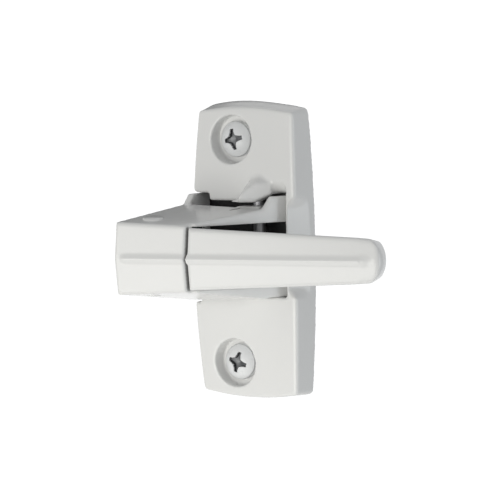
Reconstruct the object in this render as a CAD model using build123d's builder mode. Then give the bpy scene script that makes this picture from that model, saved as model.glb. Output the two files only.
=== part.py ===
"""Inside latch of a storm door: a screwed case, a sprung latch arm with a nose, and a push lever.

The frame: +Z up, +X to the right seen from the room, the room side faces -Y and the door face is y = 0.
The origin is on the door face, midway between the two screws.
"""

import math
import os

from build123d import *

# Case outline on the door face
case_center_x = 3.17
case_width = 25.77
case_height = 58.9
side_bow = 1.25
end_bow = 1.1
case_corner_radius = 1.2
case_draft = 3.7
case_depth = 6.8
front_radius = 305.0
front_edge_radius = 0.45
case_wall = 2.0

# Window for the arm, and the notches for the arm's ears
window_top = 10.1
window_bottom = -8.8
window_right = 13.2
window_floor = 1.6
pad_end_wall = 3.6
left_notch_right = -5.2
left_notch_top = 11.55
pad_corner_radius = 1.6
low_notch_right = -7.5
low_notch_bottom = -10.6
right_notch_left = 7.0
right_notch_slope_end = 9.8
right_notch_top = 11.7
roll_radius = 3.4
plunger_slot_width = 9.0
plunger_slot_height = 6.0
plunger_slot_x = -2.0
plunger_slot_z = -4.6

# Screws
screw_spacing = 44.45
screw_radius = 2.08
screw_neck_radius = 1.75
screw_neck_end = 0.5
screw_hole_radius = 2.3
screw_reach = 16.0
screw_head_radius = 3.6
screw_head_edge = 0.9
screw_head_dome = 1.1
recess_span = 4.1
recess_width = 0.95
recess_depth = 1.5
recess_draft = 9.0
upper_recess_turn = 11.0
lower_recess_turn = -16.0
counterbore_radius = 4.84
counterbore_floor = 3.2
screw_boss_radius = 6.4

# Pivot of the arm, under the hood
pivot_x = 5.63
pivot_y = -4.6
pivot_pin_radius = 1.2
pivot_pin_top = 13.0
pivot_pin_bottom = -11.6
running_clearance = 0.06
press_clearance = 0.02
hood_x = 7.4
hood_y = -6.1
hood_turn = 35.0
hood_rise = 1.8
hood_depth = 2.6
hood_roof_z = 13.75
hood_roof_left = -0.85
hood_roof_right = 1.6
hood_foot_z = 9.0
hood_foot_left = -6.3
hood_foot_right = 2.4
hood_foot_flare = 1.5
hood_peak_z = 16.4
hood_peak_half_width = 0.4
hood_right = 9.8

# Bar: the nose and the lever share one tapered section with a ridge along the front
bar_tilt = 16.5
bar_left_x = -12.2
bar_left_y = -28.55
bar_length = 54.4
bar_left_half_height = 7.13
bar_right_half_height = 4.55
ridge_rise = 0.65
bead_rise = 0.35
bead_half_width = 0.9
bead_fade = 4.0
bar_back_draft = 12.0
bar_left_thickness = 5.6
bar_right_thickness = 4.2
seam_x = 1.75
seam_gap = 0.35
lever_shy = 0.15
lever_bow_radius = 14.0
lever_corner_radius = 2.4
lever_end_radius = 2.0
lever_edge_radius = 0.6

# Arm: a fork that flares from the nose to the case
arm_rear_y = -8.5
arm_rear_left = -9.65
arm_rear_right = 10.3
arm_rear_left_top = 9.4
arm_rear_left_bottom = -9.8
arm_rear_right_half_height = 8.95
arm_wall = 1.5
nose_wall = 1.55
nose_edge_radius = 0.4
nose_slot_half_height = 4.7
nose_slot_rear_y = -17.0
fork_half_height = 6.15
fork_front_y = -18.5
lever_relief = 1.6
knuckle_radius = 2.6
knuckle_top = 9.3
knuckle_bottom = -8.4
ear_top = 11.3
ear_rise_start = -9.3
ear_rise_end = -7.6
slit_x = 3.7
slit_y = -10.35
slit_length = 2.3
slit_width = 0.35
slit_turn = 60.0
left_ear_rear_y = -1.9
left_ear_bottom = -10.3
right_ear_length = 4.8
right_ear_thickness = 1.3
right_ear_bottom = -8.6

# Lever pin and tang
lever_pin_x = -7.2
lever_pin_y = -22.6
lever_pin_radius = 1.3
lever_pin_proud = 0.15
tang_radius = 2.2
tang_clearance = 0.25
tang_root_along = 19.5
tang_root_in = 4.2
tang_root_radius = 2.1
lever_wall = 1.6
lever_pocket_start = 25.5
lever_rib = 1.3
lever_pocket_count = 3

# Return spring
wire_radius = 0.35
coil_radius = 2.1
coil_pitch = 1.0
coil_turns = 5
coil_bottom = -1.3
floor_leg_angle = 150.0

# Values that follow from the sizes above
front_reach = case_depth + 10.0
bar_facet_cosine = 0.9
half_height = case_height / 2
tilt = math.radians(bar_tilt)
along = Vector(math.cos(tilt), math.sin(tilt), 0)
inward = Vector(-math.sin(tilt), math.cos(tilt), 0)
bar_left = Vector(bar_left_x, bar_left_y, 0)
pivot = Vector(pivot_x, pivot_y, 0)
lever_pin_place = Vector(lever_pin_x, lever_pin_y, 0)


def front_y(z):
    """Return the case front's y at height z."""
    return front_radius - case_depth - math.sqrt(front_radius**2 - z**2)


def bar_half_height(s):
    """Return the bar's half height at a distance along its front."""
    return bar_left_half_height + (bar_right_half_height - bar_left_half_height) * s / bar_length


def bar_thickness(s):
    """Return the bar's thickness at a distance along its front."""
    return bar_left_thickness + (bar_right_thickness - bar_left_thickness) * s / bar_length


def lever_back_step(s):
    """Return how far the drafted top of the lever falls from its front to its back."""
    return bar_thickness(s) * math.tan(math.radians(bar_back_draft))


def bar_point(s, u, z=0.0):
    """Return the point at a distance s along the bar's front and u behind it."""
    return bar_left + along * s + inward * u + Vector(0, 0, z)


def bar_section(s):
    """Return the plane across the bar at s, its x pointing in and its y up."""
    return Plane(origin=bar_point(s, 0), x_dir=inward, z_dir=along)


def seam_distance(x):
    """Return the distance along the bar's front edge at which it reaches x."""
    return (x - bar_left_x) / math.cos(tilt)


def arm_half_height(x, y):
    """Return the half height of the arm's flared plates at a place between the nose and the rear edge."""
    front = bar_point(seam_distance(x), 0)
    share = (y - front.Y) / (arm_rear_y - front.Y)
    rear_half_height = (arm_rear_left_top + arm_rear_right_half_height) / 2
    return bar_half_height(seam_distance(x)) * (1 - share) + rear_half_height * share


def front_edges(builder):
    """Return the edges of the two facets that face the room along the bar."""
    facets = builder.faces().filter_by(lambda face: face.normal_at().dot(inward) < -bar_facet_cosine)
    return facets.edges()


def bead_section(s, rise):
    """Return the cross-section of the bead along the bar's ridge at s."""
    root = bead_half_width * ridge_rise / bar_half_height(s) - ridge_rise + press_clearance
    with BuildSketch(bar_section(s)) as section:
        with BuildLine():
            Polyline(
                (0, -bead_half_width),
                (root, -bead_half_width),
                (-ridge_rise - rise, 0),
                (root, bead_half_width),
                (0, bead_half_width),
                close=True,
            )
        make_face()
    return section.sketch


def left_wall_x(y):
    """Return the x of the outside of the arm's left wall at y."""
    share = (y - bar_left_y) / (arm_rear_y - bar_left_y)
    return bar_left_x + (arm_rear_left - bar_left_x) * share


def case_outline(inset=0.0, corner_radius=0.0):
    """Return the case's outline, with bowed sides and ends, drawn with x to the right and y up."""
    half_width = case_width / 2 - inset
    end_z = half_height - inset
    left = case_center_x - half_width
    right = case_center_x + half_width
    low_left = (left + side_bow, end_bow - end_z)
    low_right = (right - side_bow, end_bow - end_z)
    high_left = (left + side_bow, end_z - end_bow)
    high_right = (right - side_bow, end_z - end_bow)
    with BuildSketch() as outline:
        with BuildLine():
            ThreePointArc(low_right, (right, 0), high_right)
            ThreePointArc(high_right, (case_center_x, end_z), high_left)
            ThreePointArc(high_left, (left, 0), low_left)
            ThreePointArc(low_left, (case_center_x, -end_z), low_right)
        make_face()
        if corner_radius > 0:
            fillet(outline.vertices(), corner_radius)
    return outline.sketch


def front_profile(inset=0.0):
    """Return the side view of the room behind the bowed front, drawn with x to the door and y up."""
    reach = half_height + front_edge_radius
    edge = front_y(reach) + inset
    with BuildSketch() as profile:
        with BuildLine():
            ThreePointArc((edge, reach), (front_y(0) + inset, 0), (edge, -reach))
            Polyline((edge, -reach), (0, -reach), (0, reach), (edge, reach))
        make_face()
    return profile.sketch


# Hollow behind each pad, with the screw bosses left standing
with BuildPart() as hollow:
    with BuildSketch(Plane.XZ):
        add(case_outline(inset=case_wall))
        with Locations((0, screw_spacing / 2), (0, -screw_spacing / 2)):
            Circle(screw_boss_radius, mode=Mode.SUBTRACT)
        middle = (window_top + window_bottom) / 2
        with Locations((case_center_x, middle)):
            Rectangle(2 * case_width, window_top - window_bottom + 2 * pad_end_wall, mode=Mode.SUBTRACT)
    extrude(amount=front_reach)
    with BuildSketch(Plane.YZ):
        add(front_profile(inset=case_wall))
    extrude(amount=case_width, both=True, mode=Mode.INTERSECT)

# Hood: a wedge on the upper pad with its flat turned to the right, which the window trims below
hood_facing = Vector(0, -1, 0).rotate(Axis.Z, hood_turn)
hood_flat = Plane(
    origin=Vector(hood_x, hood_y, 0) + hood_facing * hood_rise,
    x_dir=hood_facing.rotate(Axis.Z, 90),
    z_dir=hood_facing,
)
with BuildPart() as hood:
    with BuildSketch(hood_flat):
        with BuildLine():
            Polyline(
                (hood_roof_left, hood_roof_z),
                (hood_roof_right, hood_roof_z),
                (hood_foot_right, hood_foot_z),
                (hood_foot_left, hood_foot_z),
                close=True,
            )
        make_face()
    with BuildSketch(hood_flat.offset(-hood_depth)):
        with BuildLine():
            Polyline(
                (-hood_peak_half_width, hood_peak_z),
                (hood_peak_half_width, hood_peak_z),
                (hood_foot_right, hood_foot_z),
                (hood_foot_left - hood_foot_flare, hood_foot_z),
                close=True,
            )
        make_face()
    loft(ruled=True)

with BuildPart() as base_case:
    with BuildSketch(Plane.XZ):
        add(case_outline(corner_radius=case_corner_radius))
    extrude(amount=front_reach, taper=case_draft)
    with BuildSketch(Plane.YZ):
        add(front_profile())
    extrude(amount=case_width, both=True, mode=Mode.INTERSECT)
    fillet(base_case.faces().sort_by(Axis.Y)[0].edges(), front_edge_radius)
    add(hood.part)
    add(hollow.part, mode=Mode.SUBTRACT)
    with BuildSketch(Plane.XZ.offset(window_floor)):
        with BuildLine():
            Polyline(
                (-case_width, low_notch_bottom),
                (low_notch_right, low_notch_bottom),
                (low_notch_right, window_bottom),
                (window_right, window_bottom),
                (window_right, right_notch_top),
                (right_notch_slope_end, right_notch_top),
                (right_notch_left, window_top),
                (left_notch_right, window_top),
                (left_notch_right, left_notch_top),
                (-case_width, left_notch_top),
                close=True,
            )
        make_face()
    extrude(amount=front_reach, mode=Mode.SUBTRACT)
    # Edge that rolls into the window beside the hood
    roll_y = front_y(right_notch_top)
    with BuildSketch(Plane.YZ.offset(hood_right)):
        with Locations((roll_y, right_notch_top)):
            Rectangle(2 * roll_radius, 2 * roll_radius)
        with Locations((roll_y + roll_radius, right_notch_top + roll_radius)):
            Circle(roll_radius, mode=Mode.SUBTRACT)
    extrude(amount=window_right - hood_right, mode=Mode.SUBTRACT)
    # Rounded corner of the upper pad over the left notch
    pad_corner_x = case_center_x - case_width / 2 + side_bow * (left_notch_top / half_height) ** 2
    with BuildSketch(Plane.XZ):
        with Locations((pad_corner_x, left_notch_top)):
            Rectangle(2 * pad_corner_radius, 2 * pad_corner_radius)
        with Locations((pad_corner_x + pad_corner_radius, left_notch_top + pad_corner_radius)):
            Circle(pad_corner_radius, mode=Mode.SUBTRACT)
        with Locations((pad_corner_x, left_notch_top - pad_corner_radius)):
            Rectangle(4 * pad_corner_radius, 2 * pad_corner_radius, mode=Mode.SUBTRACT)
    extrude(amount=front_reach, mode=Mode.SUBTRACT)
    with BuildSketch(Plane.XZ):
        with Locations((plunger_slot_x, plunger_slot_z)):
            SlotOverall(plunger_slot_width, plunger_slot_height)
    extrude(amount=window_floor, mode=Mode.SUBTRACT)
    with BuildSketch(Plane.XZ.offset(counterbore_floor)):
        with Locations((0, screw_spacing / 2), (0, -screw_spacing / 2)):
            Circle(counterbore_radius)
    extrude(amount=front_reach, mode=Mode.SUBTRACT)
    with BuildSketch(Plane.XZ):
        with Locations((0, screw_spacing / 2), (0, -screw_spacing / 2)):
            Circle(screw_hole_radius)
    extrude(amount=counterbore_floor, mode=Mode.SUBTRACT)
    with BuildSketch(Plane.XY.offset(pivot_pin_bottom)):
        with Locations(pivot):
            Circle(pivot_pin_radius + press_clearance)
    extrude(amount=pivot_pin_top - pivot_pin_bottom, mode=Mode.SUBTRACT)

with BuildPart() as pivot_pin:
    with BuildSketch(Plane.XY.offset(pivot_pin_bottom)):
        with Locations(pivot):
            Circle(pivot_pin_radius)
    extrude(amount=pivot_pin_top - pivot_pin_bottom)
    chamfer(pivot_pin.edges(), pivot_pin_radius / 5)


def make_screw(z, recess_turn):
    """Return a domed cross-recess screw, seated on the floor of the counterbore at height z."""
    head_plane = Plane(origin=(0, -counterbore_floor, z), x_dir=(1, 0, 0), z_dir=(0, -1, 0))
    head_height = screw_head_edge + screw_head_dome
    dome_radius = (screw_head_radius**2 + screw_head_dome**2) / (2 * screw_head_dome)
    with BuildPart() as screw:
        with BuildSketch(head_plane):
            Circle(screw_head_radius)
        extrude(amount=head_height)
        with Locations(head_plane.offset(head_height - dome_radius)):
            Sphere(dome_radius, mode=Mode.INTERSECT)
        with BuildSketch(head_plane):
            Circle(screw_neck_radius)
        extrude(amount=-(counterbore_floor + screw_reach))
        with BuildSketch(head_plane.offset(-(counterbore_floor + screw_neck_end))):
            Circle(screw_radius)
        extrude(amount=screw_neck_end - screw_reach)
        chamfer(screw.faces().sort_by(Axis.Y)[-1].edges(), screw_radius / 4)
        with BuildSketch(head_plane.offset(head_height)):
            Rectangle(recess_span, recess_width, rotation=recess_turn)
            Rectangle(recess_width, recess_span, rotation=recess_turn)
        extrude(amount=-recess_depth, taper=recess_draft, mode=Mode.SUBTRACT)
    return screw


upper_screw = make_screw(screw_spacing / 2, upper_recess_turn)
lower_screw = make_screw(-screw_spacing / 2, lower_recess_turn)

# Ridge along the front of the nose, cut off level with the arm's left wall and at the seam
left_wall_run = Vector(arm_rear_left - bar_left_x, arm_rear_y - bar_left_y, 0)
with BuildPart() as nose_ridge:
    for s in (-ridge_rise, seam_distance(seam_x) + ridge_rise):
        h = bar_half_height(s)
        with BuildSketch(bar_section(s)):
            with BuildLine():
                Polyline((nose_wall, -h), (0, -h), (-ridge_rise, 0), (0, h), (nose_wall, h), close=True)
            make_face()
    loft(ruled=True)
    split(bisect_by=Plane(origin=bar_left, z_dir=left_wall_run.cross(Vector(0, 0, 1))), keep=Keep.TOP)
    split(bisect_by=Plane(origin=(seam_x, 0, 0), z_dir=(-1, 0, 0)), keep=Keep.TOP)

# Bead along the ridge, which fades out at both ends of the bar
with BuildPart() as bead:
    bead_stations = (
        (0, -bead_rise),
        (bead_fade / 2, bead_rise),
        (bar_length - bead_fade, bead_rise),
        (bar_length - lever_edge_radius, -bead_rise),
    )
    loft([bead_section(s, rise) for s, rise in bead_stations], ruled=True)

# Right wall of the arm runs from the seam to the case
seam_end = bar_point(seam_distance(seam_x), 0)
arm_rear_corner = Vector(arm_rear_right, arm_rear_y, 0)
right_run = (arm_rear_corner - seam_end).normalized()
right_wall_plane = Plane(origin=arm_rear_corner, x_dir=right_run, z_dir=right_run.cross(Vector(0, 0, 1)))

with BuildPart() as latch_arm:
    with BuildSketch(Plane(origin=bar_left, x_dir=along, z_dir=-inward)):
        h = bar_half_height(seam_distance(seam_x))
        with BuildLine():
            Polyline(
                (0, -bar_left_half_height),
                (seam_distance(seam_x), -h),
                (seam_distance(seam_x), h),
                (0, bar_left_half_height),
                close=True,
            )
        make_face()
    with BuildSketch(Plane.XZ.offset(-arm_rear_y)):
        with BuildLine():
            Polyline(
                (arm_rear_left, arm_rear_left_bottom),
                (arm_rear_right, -arm_rear_right_half_height),
                (arm_rear_right, arm_rear_right_half_height),
                (arm_rear_left, arm_rear_left_top),
                close=True,
            )
        make_face()
    loft(ruled=True)
    add(nose_ridge.part)
    nose_edges = front_edges(latch_arm).filter_by(lambda edge: edge.center().X < seam_x - nose_wall)
    fillet(nose_edges, nose_edge_radius)
    add(split(bead.part, bisect_by=Plane(origin=(seam_x, 0, 0), z_dir=(-1, 0, 0)), mode=Mode.PRIVATE))
    # Slot in the nose for the lever's tang
    with BuildSketch(Plane.XY.offset(-nose_slot_half_height)):
        slot_left = bar_point(arm_wall, nose_wall)
        slot_right = bar_point(seam_distance(seam_x) + ridge_rise, nose_wall)
        slot_rear_x = left_wall_x(nose_slot_rear_y) + arm_wall
        with BuildLine():
            Polyline(
                (slot_left.X, slot_left.Y),
                (slot_right.X, slot_right.Y),
                (slot_right.X, nose_slot_rear_y),
                (slot_rear_x, nose_slot_rear_y),
                close=True,
            )
        make_face()
    extrude(amount=2 * nose_slot_half_height, mode=Mode.SUBTRACT)
    # Opening of the fork, to the rear and to the right of the seam
    with BuildSketch(Plane.XY.offset(-fork_half_height)):
        with BuildLine():
            Polyline(
                (left_wall_x(fork_front_y) + arm_wall, fork_front_y),
                (seam_x, fork_front_y),
                (seam_x, bar_left_y),
                (2 * case_width, bar_left_y),
                (2 * case_width, 0),
                (arm_rear_left + arm_wall, 0),
                close=True,
            )
        make_face()
    extrude(amount=2 * fork_half_height, mode=Mode.SUBTRACT)
    # Room for the lever's end as it turns
    with BuildSketch(Plane.XY):
        relief_run = lever_relief / math.cos(tilt)
        relief_rise = (arm_rear_right - seam_x) * math.tan(tilt)
        with BuildLine():
            Polyline(
                (seam_x, bar_left_y),
                (arm_rear_right, bar_left_y),
                (arm_rear_right, seam_end.Y + relief_run + relief_rise),
                (seam_x, seam_end.Y + relief_run),
                close=True,
            )
        make_face()
    extrude(amount=bar_left_half_height, both=True, mode=Mode.SUBTRACT)
    # Knuckles on the pivot pin
    for low, high in ((knuckle_bottom, -fork_half_height), (fork_half_height, knuckle_top)):
        with BuildSketch(Plane.XY.offset(low)):
            with Locations(pivot):
                Circle(knuckle_radius)
            with Locations((pivot_x, (pivot_y + arm_rear_y) / 2)):
                Rectangle(2 * knuckle_radius, pivot_y - arm_rear_y + press_clearance)
        extrude(amount=high - low)
    # Ears that stand up beside the hood
    with BuildSketch(Plane.YZ.offset(arm_rear_left)):
        with BuildLine():
            Polyline(
                (arm_rear_y - arm_wall, -fork_half_height),
                (arm_rear_y - arm_wall, fork_half_height),
                (ear_rise_start, arm_rear_left_top - press_clearance),
                (ear_rise_end, ear_top),
                (left_ear_rear_y, ear_top),
                (left_ear_rear_y, left_ear_bottom),
                (arm_rear_y, arm_rear_left_bottom),
                close=True,
            )
        make_face()
    extrude(amount=arm_wall)
    with BuildSketch(right_wall_plane):
        with BuildLine():
            Polyline(
                (-right_ear_thickness, fork_half_height),
                (ear_rise_start - arm_rear_y, arm_rear_right_half_height - press_clearance),
                (ear_rise_end - arm_rear_y, ear_top),
                (right_ear_length, ear_top),
                (right_ear_length, fork_half_height),
                close=True,
            )
        make_face()
        with BuildLine():
            Polyline(
                (-right_ear_thickness, -fork_half_height),
                (-right_ear_thickness, right_ear_bottom),
                (right_ear_length, right_ear_bottom),
                (right_ear_length, -fork_half_height),
                close=True,
            )
        make_face()
    extrude(amount=-right_ear_thickness)
    # Pin holes
    with BuildSketch(Plane.XY):
        with Locations(pivot):
            Circle(pivot_pin_radius + running_clearance)
        with Locations(lever_pin_place):
            Circle(lever_pin_radius + press_clearance)
    extrude(amount=2 * ear_top, both=True, mode=Mode.SUBTRACT)
    # Slit in the upper plate beside the knuckle
    with BuildSketch(Plane.XY.offset(fork_half_height)):
        with Locations(Location((slit_x, slit_y), slit_turn)):
            SlotOverall(slit_length, slit_width)
    extrude(amount=ear_top, mode=Mode.SUBTRACT)

with BuildPart() as lever_pin:
    with BuildSketch(Plane.XY):
        with Locations(lever_pin_place):
            Circle(lever_pin_radius)
    extrude(amount=arm_half_height(lever_pin_x, lever_pin_y) + lever_pin_proud, both=True)
    chamfer(lever_pin.edges(), lever_pin_proud)

lever_start = seam_x + seam_gap
with BuildPart() as lever_handle:
    for s in (seam_distance(seam_x) - ridge_rise, bar_length):
        h = bar_half_height(s) - lever_shy
        t = bar_thickness(s)
        back_h = h - lever_back_step(s)
        with BuildSketch(bar_section(s)):
            with BuildLine():
                Polyline((t, -back_h), (0, -h), (-ridge_rise, 0), (0, h), (t, back_h), close=True)
            make_face()
    loft(ruled=True)
    split(bisect_by=Plane(origin=(lever_start, 0, 0), z_dir=(1, 0, 0)), keep=Keep.TOP)
    near_end = bar_point(bar_length - lever_corner_radius, 0).X
    fillet(front_edges(lever_handle).filter_by(lambda edge: edge.center().X < near_end), lever_edge_radius)
    # Rounded end: a bowed side view, then a rounded plan
    with BuildSketch(Plane(origin=bar_point(0, bar_left_thickness), x_dir=along, z_dir=-inward)) as side_view:
        end_h = bar_half_height(bar_length)
        bow_s = bar_length - lever_bow_radius + math.sqrt(lever_bow_radius**2 - end_h**2)
        with BuildLine():
            ThreePointArc((bow_s, -end_h), (bar_length, 0), (bow_s, end_h))
            Polyline(
                (bow_s, end_h),
                (0, bar_half_height(0)),
                (0, -bar_half_height(0)),
                (bow_s, -end_h),
            )
        make_face()
        fillet(side_view.vertices().sort_by(Axis.X)[-2:], lever_corner_radius)
    extrude(amount=2 * bar_left_thickness, mode=Mode.INTERSECT)
    with BuildSketch(Plane.XY.offset(-bar_left_half_height)) as plan:
        with BuildLine():
            Polyline(
                bar_point(0, -bar_left_thickness),
                bar_point(bar_length, -ridge_rise - lever_shy),
                bar_point(bar_length, bar_right_thickness + lever_shy),
                bar_point(0, 2 * bar_left_thickness),
                close=True,
            )
        make_face()
        fillet(plan.vertices().sort_by(Axis.X)[-2:], lever_end_radius)
    extrude(amount=2 * bar_left_half_height, mode=Mode.INTERSECT)
    add(split(bead.part, bisect_by=Plane(origin=(lever_start, 0, 0), z_dir=(1, 0, 0)), mode=Mode.PRIVATE))
    # Pockets in the back, parted by ribs
    pocket_run = (bar_length - lever_end_radius - lever_wall - lever_pocket_start) / lever_pocket_count
    for index in range(lever_pocket_count):
        pocket_start = lever_pocket_start + index * pocket_run
        for s in (pocket_start, pocket_start + pocket_run - lever_rib):
            h = bar_half_height(s) - lever_shy - lever_back_step(s) - lever_wall
            back = bar_thickness(s) + lever_wall
            with BuildSketch(bar_section(s)):
                with BuildLine():
                    Polyline((lever_wall, -h), (back, -h), (back, h), (lever_wall, h), close=True)
                make_face()
        loft(ruled=True, mode=Mode.SUBTRACT)
    # Tang that reaches the lever pin inside the nose
    tang_half_height = nose_slot_half_height - tang_clearance
    with BuildSketch(Plane.XY.offset(-tang_half_height)):
        with Locations(lever_pin_place):
            Circle(tang_radius)
        with Locations(bar_point(tang_root_along, tang_root_in)):
            Circle(tang_root_radius)
        make_hull()
    extrude(amount=2 * tang_half_height)
    with BuildSketch(Plane.XY):
        with Locations(lever_pin_place):
            Circle(lever_pin_radius + running_clearance)
    extrude(amount=nose_slot_half_height, both=True, mode=Mode.SUBTRACT)

# Torsion spring on the pivot pin: one leg lies on the case's floor, the other on the lever's back
lever_leg_angle = bar_tilt - 90.0
coil_start_angle = floor_leg_angle + 90.0
coil_end_angle = lever_leg_angle - 90.0
last_turn = ((coil_end_angle - coil_start_angle) % 360.0) / 360.0
coil_height = coil_pitch * (coil_turns - 1 + last_turn)
coil_start = pivot + Vector(coil_radius, 0, 0).rotate(Axis.Z, coil_start_angle)
coil_end = pivot + Vector(coil_radius, 0, 0).rotate(Axis.Z, coil_end_angle)
lever_leg_along = (coil_end - bar_left).dot(along)
wire_rise = math.atan(coil_pitch / (2 * math.pi * coil_radius))
floor_leg_run = (-window_floor - wire_radius - coil_start.Y) / math.sin(math.radians(floor_leg_angle))
lever_leg_run = (coil_end - bar_left).dot(inward) - bar_thickness(lever_leg_along) - wire_radius
with BuildPart() as spring_at_zero:
    with BuildLine() as wire:
        coil = Helix(coil_pitch, coil_height, coil_radius, center=(pivot_x, pivot_y, coil_bottom))
        Line(coil @ 0, (coil @ 0) - (coil % 0) * (floor_leg_run / math.cos(wire_rise)))
        Line(coil @ 1, (coil @ 1) + (coil % 1) * (lever_leg_run / math.cos(wire_rise)))
    with BuildSketch(Plane(origin=wire.line @ 0, z_dir=wire.line % 0)):
        Circle(wire_radius)
    sweep(path=wire.line)
return_spring = spring_at_zero.part.rotate(Axis((pivot_x, pivot_y, 0), (0, 0, 1)), coil_start_angle)

nodes = {
    "base_case": base_case.part,
    "upper_screw": upper_screw.part,
    "lower_screw": lower_screw.part,
    "pivot_pin": pivot_pin.part,
    "return_spring": return_spring,
    "latch_arm": latch_arm.part,
    "lever_pin": lever_pin.part,
    "lever_handle": lever_handle.part,
}
os.makedirs("parts", exist_ok=True)
for name, node in nodes.items():
    node.label = name
    export_step(node, f"parts/{name}.step")
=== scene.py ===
"""Looks of an inside storm door latch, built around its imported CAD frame.

The castings are copies of the CAD nodes whose edges and corners a thick coat of paint has softened. The
screws are new pieces with a cross recess and a rolled thread, the lever's pin gets a painted head, and the
spring is a copy with a shorter leg. The pins themselves are the CAD nodes. The latch is in millimetres until
a mesh is placed, and the floor, the lamps and the camera are in metres. Angles are in degrees.
"""

from __future__ import annotations

import logging
import math
from dataclasses import dataclass, replace
from enum import Enum, IntEnum

import bmesh
import bpy
from mathutils import Matrix, Vector

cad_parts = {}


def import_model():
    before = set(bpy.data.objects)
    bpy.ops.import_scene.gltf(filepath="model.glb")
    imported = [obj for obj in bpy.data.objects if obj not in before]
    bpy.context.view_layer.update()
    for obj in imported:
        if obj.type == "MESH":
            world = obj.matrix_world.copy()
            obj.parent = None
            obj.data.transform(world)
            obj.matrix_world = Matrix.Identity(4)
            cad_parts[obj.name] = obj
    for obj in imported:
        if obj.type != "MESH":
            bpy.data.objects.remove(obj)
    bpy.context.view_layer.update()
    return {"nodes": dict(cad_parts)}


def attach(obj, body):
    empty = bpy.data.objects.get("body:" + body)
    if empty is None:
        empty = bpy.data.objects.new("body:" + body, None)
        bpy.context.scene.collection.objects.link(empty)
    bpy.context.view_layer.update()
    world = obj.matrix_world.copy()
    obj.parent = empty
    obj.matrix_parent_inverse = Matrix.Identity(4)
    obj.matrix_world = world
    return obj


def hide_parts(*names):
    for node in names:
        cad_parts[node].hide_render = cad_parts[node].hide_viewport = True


MM = 0.001
# Vertex attribute that paints shade into the arm's seam and slit.
PAINTED_SHADE = "painted_shade"
GRID_TURN = 31.0
GRID_AXIS = (1.0, 0.6, 0.3)
NODE_MERGE = 1e-3
SPUN_MERGE = 1e-5
CUT_MERGE = 1e-4
FLOW_FACTOR = 0.5
NOISE_MIDDLE = 0.5
NOISE_SPREAD = 0.25
FULL_TURN = 2 * math.pi
LOG = logging.getLogger("storm_door_latch")

Span = tuple[float, float]
Place = tuple[float, float, float]
Colour = tuple[float, float, float]


class Body(Enum):
    """The CAD bodies that pieces ride on."""

    CASE = "case"
    ARM = "arm"
    LEVER = "lever"


class Slot(Enum):
    """The names of the record's material slots."""

    PAINT = "white_paint"
    SCREW = "painted_screw"
    SPRING = "spring_steel"


class Grain(Enum):
    """The direction that the drawing lines of a bare metal piece run in."""

    ALONG_Z = (1.0, 1.0, 0.04)
    NONE = (1.0, 1.0, 1.0)


class ScrewPart(IntEnum):
    """The parts of a screw, in the order of its finishes."""

    HEAD = 0
    RECESS = 1
    SHANK = 2


def ease(value: float, start: float, end: float) -> float:
    """Return a smooth step from zero at the start to one at the end."""
    share = min(1.0, max(0.0, (value - start) / (end - start)))
    return share * share * (3 - 2 * share)


def level(turn: float) -> Vector:
    """Return the level direction that is turned from +X towards +Y by an angle."""
    return Vector((math.cos(math.radians(turn)), math.sin(math.radians(turn)), 0.0))


def outward(azimuth: float, elevation: float) -> Vector:
    """Return the direction from the latch to a place, by its angles from the front and from the level."""
    rise = math.radians(elevation)
    return level(azimuth - 90.0) * math.cos(rise) + Vector((0.0, 0.0, math.sin(rise)))


class ShaderTree:
    """Adds and links the nodes of one shader tree."""

    def __init__(self, tree: bpy.types.NodeTree) -> None:
        """Keep the tree and clear it."""
        self.tree = tree
        self.tree.nodes.clear()

    def add(self, kind: str, **settings: object) -> bpy.types.Node:
        """Add a node.

        Args:
            kind: The node's type name.
            settings: Attributes of the node to set.

        Returns:
            The new node.
        """
        node = self.tree.nodes.new(kind)
        for key, value in settings.items():
            setattr(node, key, value)
        return node

    def link(self, source: bpy.types.NodeSocket, target: bpy.types.NodeSocket) -> None:
        """Link an output socket to an input socket."""
        self.tree.links.new(source, target)

    def noise(
        self, place: bpy.types.NodeSocket, scale: bpy.types.NodeSocket, detail: float = 2.0
    ) -> bpy.types.NodeSocket:
        """Add a noise texture.

        Args:
            place: The coordinates that it reads.
            scale: Its scale, in waves a metre.
            detail: Its number of octaves.

        Returns:
            The noise's value socket.
        """
        node = self.add("ShaderNodeTexNoise")
        node.inputs["Detail"].default_value = detail
        self.link(place, node.inputs["Vector"])
        self.link(scale, node.inputs["Scale"])
        return node.outputs["Fac"]

    def stretch(self, noise: bpy.types.NodeSocket) -> bpy.types.NodeSocket:
        """Stretch the middle of a noise to the range from zero to one.

        Args:
            noise: The noise's value socket.

        Returns:
            The stretched value's socket.
        """
        node = self.add("ShaderNodeMapRange")
        node.inputs["From Min"].default_value = NOISE_MIDDLE - NOISE_SPREAD
        node.inputs["From Max"].default_value = NOISE_MIDDLE + NOISE_SPREAD
        self.link(noise, node.inputs["Value"])
        return node.outputs["Result"]

    def math(self, operation: str, first: bpy.types.NodeSocket, second: object) -> bpy.types.NodeSocket:
        """Add a math node.

        Args:
            operation: The node's operation.
            first: Its first value.
            second: Its second value, a socket or a number.

        Returns:
            The result's socket.
        """
        node = self.add("ShaderNodeMath", operation=operation)
        self.link(first, node.inputs[0])
        if isinstance(second, bpy.types.NodeSocket):
            self.link(second, node.inputs[1])
        else:
            node.inputs[1].default_value = second
        return node.outputs[0]

    def vector_math(
        self, operation: str, first: bpy.types.NodeSocket, second: bpy.types.NodeSocket
    ) -> bpy.types.NodeSocket:
        """Add a vector math node.

        Args:
            operation: The node's operation.
            first: Its first vector.
            second: Its second vector.

        Returns:
            The result's socket.
        """
        node = self.add("ShaderNodeVectorMath", operation=operation)
        self.link(first, node.inputs[0])
        self.link(second, node.inputs[1])
        return node.outputs[0]


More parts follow.
